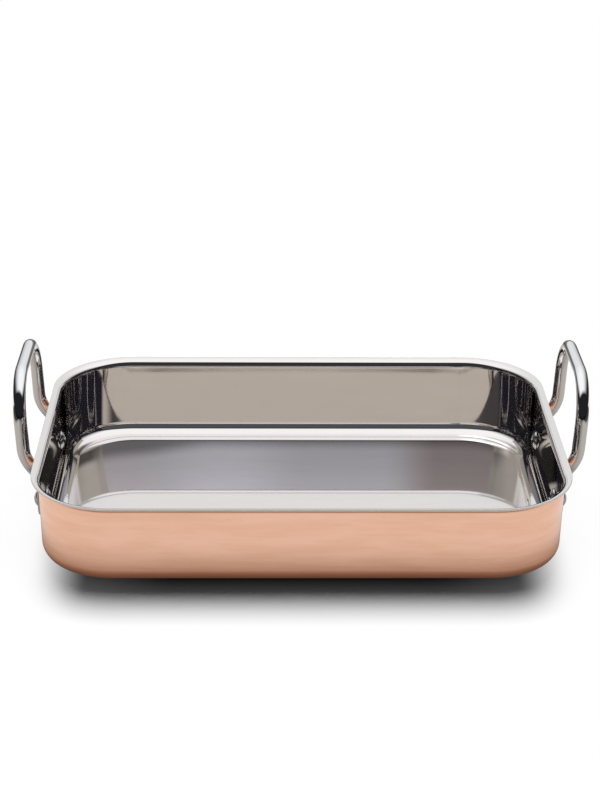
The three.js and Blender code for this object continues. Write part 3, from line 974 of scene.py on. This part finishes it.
# Painted shade and warmth in the rear wall's reflection: by where on the rear wall the ray starts, up it and
# along it, and by how steep the ray is
LEFT_DIP = (-0.135, -0.06, -0.009, 0.0)
LOW_ON_WALL = (0.006, 0.02, 0.35, 0.9)
HIGH_ON_WALL = (0.02, 0.06, 1.0, 1.25)
STEEP_RAYS = (-0.68, -0.62, 0.5, 1.0)
LEFT_OF_WALL = (-0.13, -0.06, 0.8 * FILL_GLOW, FILL_GLOW)
MIDDLE_OF_WALL = (-0.05, 0.01, 1.0, 0.82)
RIGHT_OF_WALL = (0.065, 0.11, 1.0, 0.54)
WARM_LEFT = (-0.14, -0.09, 0.4, 0.0)
WARM_RIGHT = (0.065, 0.11, 0.0, 1.0)


def fill_glow(material, path):
    """Painted shade: goes by where on the rear wall the ray starts, dim low down and at the right, and dim in
    steep rays.
    """
    start = ray_start(material, path)
    facing = node(material, "ShaderNodeNewGeometry")
    back = node(material, "ShaderNodeSeparateXYZ", links={"Vector": facing.outputs["Incoming"]}).outputs
    dipped = calculate(material, "ADD", start["Z"], fade(material, start["X"], LEFT_DIP))
    up_wall = product(material, fade(material, dipped, LOW_ON_WALL), fade(material, start["Z"], HIGH_ON_WALL),
                      fade(material, back["Z"], STEEP_RAYS))
    along_wall = fade(material, start["X"], LEFT_OF_WALL, MIDDLE_OF_WALL, RIGHT_OF_WALL)
    warm_share = calculate(material, "MAXIMUM", fade(material, start["X"], WARM_RIGHT),
                           fade(material, start["X"], WARM_LEFT))
    return product(material, up_wall, along_wall), warm_share


glowing_card("fill_card", upright(FILL_HALF_WIDTH, FILL_PLACE, FILL_LOW, FILL_HIGH),
             (FILL_COLOUR, FILL_WARM_COLOUR), fill_glow, reflection=2)

FRONT_PLACE = -0.3
FRONT_HALF_WIDTH = 0.4
FRONT_LOW = 0.12
FRONT_HIGH = 0.45
FRONT_GLOW = 0.1
FRONT_DARK = 0.02
REAR_WALL_FOOT = 0.1
UP_REAR_WALL = (0.012, 0.04, FRONT_GLOW, 0.4 * FRONT_GLOW)


def front_glow(material, path):
    """A painted dim reflection for the rear wall, more in the rounding at its foot than under its lip; near
    dark else.
    """
    start = ray_start(material, path)
    off_rear = calculate(material, "GREATER_THAN", start["Y"], REAR_WALL_FOOT)
    return chosen(material, off_rear, FRONT_DARK, fade(material, start["Z"], UP_REAR_WALL)), None


glowing_card("front_card", upright(FRONT_HALF_WIDTH, FRONT_PLACE, FRONT_LOW, FRONT_HIGH), (BOX_COLOUR,),
             front_glow, reflection=1)

# Lamps
# A wide soft lamp from above and a little behind lights the table evenly and throws the shadow forwards.
# Mirror surfaces don't see it.
TABLE_LIGHT = 1290
TABLE_LIGHT_DISTANCE = 10.0
TABLE_LIGHT_LEAN = math.radians(20)
TABLE_LIGHT_WIDTH = 4.4
TABLE_LIGHT_DEPTH = 7.6
table_lamp_data = bpy.data.lights.new("table_lamp", "AREA")
table_lamp_data.shape = "ELLIPSE"
table_lamp_data.energy = TABLE_LIGHT
table_lamp_data.size = TABLE_LIGHT_WIDTH
table_lamp_data.size_y = TABLE_LIGHT_DEPTH
table_lamp = bpy.data.objects.new("table_lamp", table_lamp_data)
table_lamp.location = (
    0,
    TABLE_LIGHT_DISTANCE * math.sin(TABLE_LIGHT_LEAN),
    TABLE_LIGHT_DISTANCE * math.cos(TABLE_LIGHT_LEAN),
)
table_lamp.rotation_euler = (-TABLE_LIGHT_LEAN, 0, 0)
table_lamp.visible_glossy = False
bpy.context.scene.collection.objects.link(table_lamp)

# World
# White where the camera looks past the table, and a little light on the table. Mirror surfaces that look past
# the cards see a blue-black room. In a second reflection only, it has a painted pale fill above, and a
# painted warm patch low down at the right and in front.
SKY_LIGHT = (0.04, 0.04, 0.04)
SKY_DARK = (0.018, 0.018, 0.029)
SKY_FILL = (0.79, 0.86, 1.0)
SKY_FILL_SIDES = (-0.15, 0.15, 0.36, 0.54)
SKY_FILL_RISE = (0.43, 0.55, 0.0, 1.0)
SKY_FILL_TILT = 0.2
SKY_PATCH = (1.0, 0.95, 0.9)
PATCH_START = (0.5, 0.7, 0.1, 1.0)
PATCH_END = (0.71, 0.77, 0.62, 0.0)
PATCH_TOP = (0.3, 0.33, 1.0, 0.0)
PATCH_FRONT = (-0.5, -0.4, 1.0, 0.0)
world = bpy.data.worlds.new("studio")
world.use_nodes = True
bpy.context.scene.world = world
sky_path = node(world, "ShaderNodeLightPath")
sky_place = node(world, "ShaderNodeTexCoord")
sky_way = node(world, "ShaderNodeSeparateXYZ", links={"Vector": sky_place.outputs["Generated"]}).outputs
in_second = reflection_is(world, sky_path, 2)
sky_tilt = product(world, sky_way["Y"], SKY_FILL_TILT)
sky_rise = fade(world, calculate(world, "SUBTRACT", sky_way["Z"], sky_tilt), SKY_FILL_RISE)
fill_share = product(world, fade(world, sky_way["X"], SKY_FILL_SIDES), sky_rise, in_second)
patch_low = product(world, fade(world, sky_way["Z"], PATCH_TOP), fade(world, sky_way["Y"], PATCH_FRONT))
patch_share = product(world, fade(world, sky_way["X"], PATCH_END, PATCH_START), patch_low, in_second)
sky_room = chosen(world, fill_share, SKY_DARK, SKY_FILL)
sky_patched = chosen(world, patch_share, sky_room, SKY_PATCH)
sky_lit = chosen(world, sky_path.outputs["Is Diffuse Ray"], sky_patched, SKY_LIGHT)
sky_seen = chosen(world, sky_path.outputs["Is Camera Ray"], sky_lit, WHITE)
feed(world, sky_seen, world.node_tree.nodes["Background"].inputs["Color"])
bpy.context.scene.view_settings.view_transform = "Standard"

# Camera
# In front of the pan and above it, looking down into it. Its place, its turn and its lens come from fitting
# the rim, the walls and the handles in the photograph.
CAMERA_OVER_RIM = 0.5339
CAMERA_PLACE = (-0.02245, -1.14645, CAMERA_OVER_RIM + TRAY_HEIGHT)
CAMERA_PITCH = math.radians(24.14)
CAMERA_YAW = math.radians(1.10)
CAMERA_ROLL = math.radians(0.54)
FOCAL_PIXELS = 1826.0
PICTURE_HEIGHT_PIXELS = 800
SENSOR_SIZE = 36.0
VIEW_END = 50
camera_data = bpy.data.cameras.new("camera")
camera_data.sensor_width = SENSOR_SIZE
camera_data.lens = FOCAL_PIXELS / PICTURE_HEIGHT_PIXELS * SENSOR_SIZE
camera_data.clip_end = VIEW_END
camera = bpy.data.objects.new("camera", camera_data)
ahead = Vector((
    math.sin(CAMERA_YAW) * math.cos(CAMERA_PITCH),
    math.cos(CAMERA_YAW) * math.cos(CAMERA_PITCH),
    -math.sin(CAMERA_PITCH),
))
level = Vector((math.cos(CAMERA_YAW), -math.sin(CAMERA_YAW), 0))
above = level.cross(ahead)
right = level * math.cos(CAMERA_ROLL) + above * math.sin(CAMERA_ROLL)
up = above * math.cos(CAMERA_ROLL) - level * math.sin(CAMERA_ROLL)
camera.matrix_world = Matrix.Translation(CAMERA_PLACE) @ Matrix((right, up, -ahead)).transposed().to_4x4()
bpy.context.scene.collection.objects.link(camera)
bpy.context.scene.camera = camera
